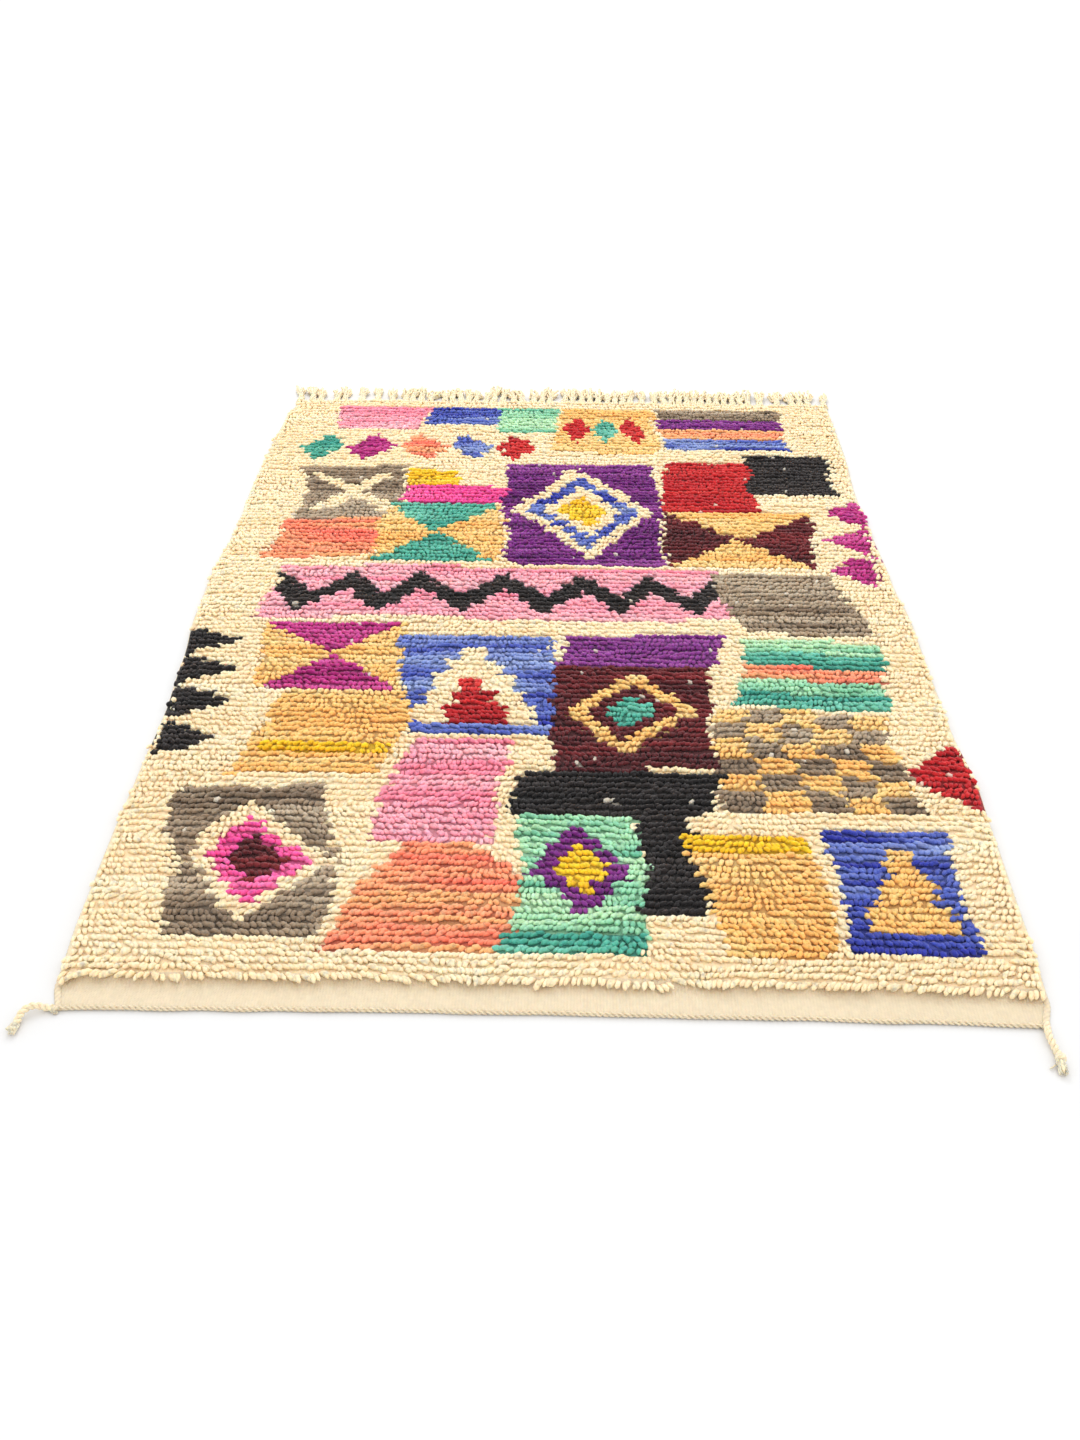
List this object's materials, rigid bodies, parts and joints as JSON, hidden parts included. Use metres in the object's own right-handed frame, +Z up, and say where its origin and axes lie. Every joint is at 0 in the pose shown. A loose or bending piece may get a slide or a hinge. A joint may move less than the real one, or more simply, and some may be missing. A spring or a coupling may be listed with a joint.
{
  "type": "berber rug",
  "caption": "Hand-knotted wool rug lying flat, with thick pile in rows, a bare woven band at the near end, tassels at the far end and twisted corner ties.",
  "frame": {"origin": "on the floor, under the middle of the rug and its tassels", "axes": "+X across the rug, +Y along it from the bare woven band towards the tassels, +Z up"},
  "size_m": [1.6395, 2.6536, 0.0187],
  "materials": {
    "pile_wool": "thick dull wool pile",
    "edge_wool": "dull twined wool yarn",
    "tassel_wool": "crinkled warp yarn",
    "tie_wool": "twisted wool cord"
  },
  "bodies": {
    "root": {"rug": "pile_wool", "near_twining": "edge_wool", "far_fringe": "tassel_wool", "corner_tie_left": "tie_wool", "corner_tie_right": "tie_wool", "tie_fray_left": "tie_wool", "tie_knot_right": "tie_wool", "tie_strand_right": "tie_wool"}
  },
  "joints": []
}
